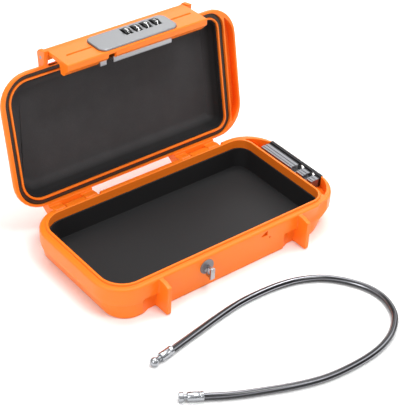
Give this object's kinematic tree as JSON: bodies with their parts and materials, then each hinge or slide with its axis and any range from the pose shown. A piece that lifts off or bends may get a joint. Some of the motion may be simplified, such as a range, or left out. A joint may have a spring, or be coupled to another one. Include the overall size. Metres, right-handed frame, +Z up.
{
  "type": "portable safe",
  "caption": "Small lockable case with a hinged lid, a combination lock flap and a separate looped steel tether cable.",
  "frame": {"origin": "centre of the seal rectangle, on the underside of the base", "axes": "+X along the hinge towards the cable end, +Y towards the hinge, +Z up"},
  "size_m": [0.2638, 0.3339, 0.1658],
  "materials": {
    "orange_abs": "fine moulded sheen",
    "black_liner": "matt black",
    "grey_lining": "matt dark grey",
    "gasket_rubber": "matt black rubber",
    "zinc_casting": "satin grey casting",
    "lock_silver": "satin silver",
    "steel": "plain steel",
    "polished_steel": "bright polished",
    "dial_black": "black with white numbers",
    "cable_coating": "clear coat over dark braided steel"
  },
  "bodies": {
    "base": {"base_tub": "orange_abs", "base_liner": "black_liner", "cable_anchor": "zinc_casting", "anchor_screws": "steel", "striker": "polished_steel", "striker_flange": "zinc_casting", "striker_nut": "steel", "hinge_pin_left": "steel", "hinge_pin_right": "steel", "security_cable": "cable_coating", "cable_ferrule_a": "polished_steel", "cable_ferrule_b": "polished_steel", "cable_ball_head": "polished_steel", "cable_flat_head": "polished_steel"},
    "lid": {"lid_shell": "orange_abs", "lid_gasket": "gasket_rubber", "lid_liner": "grey_lining"},
    "flap_pivot": {"flap_pin": "steel"},
    "flap": {"latch_flap": "orange_abs", "lock_face_plate": "lock_silver", "lock_case": "zinc_casting", "lock_backplate": "zinc_casting", "lock_screws": "steel", "dial_axle": "steel", "detent_spring": "steel"},
    "number_wheel_1": {"dial_1": "dial_black", "dial_sleeve_1": "zinc_casting"},
    "number_wheel_2": {"dial_2": "dial_black", "dial_sleeve_2": "zinc_casting"},
    "number_wheel_3": {"dial_3": "dial_black", "dial_sleeve_3": "zinc_casting"},
    "number_wheel_4": {"dial_4": "dial_black", "dial_sleeve_4": "zinc_casting"},
    "bolt": {"lock_bolt": "steel"}
  },
  "joints": [
    {"name": "lid_hinge", "type": "hinge", "parent": "base", "child": "lid", "pos_m": [0, 0.0674, 0.0241], "axis": [1, 0, 0], "range_deg": [0, 102.1]},
    {"name": "flap_lift", "type": "hinge", "parent": "lid", "child": "flap_pivot", "pos_m": [0, 0.10769, 0.15527], "axis": [-1, 0, 0], "range_deg": [0, 16.1]},
    {"name": "flap_hinge", "type": "hinge", "parent": "flap_pivot", "child": "flap", "pos_m": [0, 0.10769, 0.15527], "axis": [-1, 0, 0], "range_deg": [0, 95]},
    {"name": "dial_1_turn", "type": "hinge", "parent": "flap", "child": "number_wheel_1", "pos_m": [0.0022, 0.09227, 0.15957], "axis": [1, 0, 0], "continuous": true},
    {"name": "dial_2_turn", "type": "hinge", "parent": "flap", "child": "number_wheel_2", "pos_m": [0.0124, 0.09227, 0.15957], "axis": [1, 0, 0], "continuous": true},
    {"name": "dial_3_turn", "type": "hinge", "parent": "flap", "child": "number_wheel_3", "pos_m": [0.0226, 0.09227, 0.15957], "axis": [1, 0, 0], "continuous": true},
    {"name": "dial_4_turn", "type": "hinge", "parent": "flap", "child": "number_wheel_4", "pos_m": [0.0328, 0.09227, 0.15957], "axis": [1, 0, 0], "continuous": true},
    {"name": "bolt_slide", "type": "slide", "parent": "flap", "child": "bolt", "axis": [-1, 0, 0], "range_m": [0, 0.006]}
  ],
  "couplings": [
    {"joint": "flap_lift", "follows": "lid_hinge", "ratio": 0.15671}
  ]
}
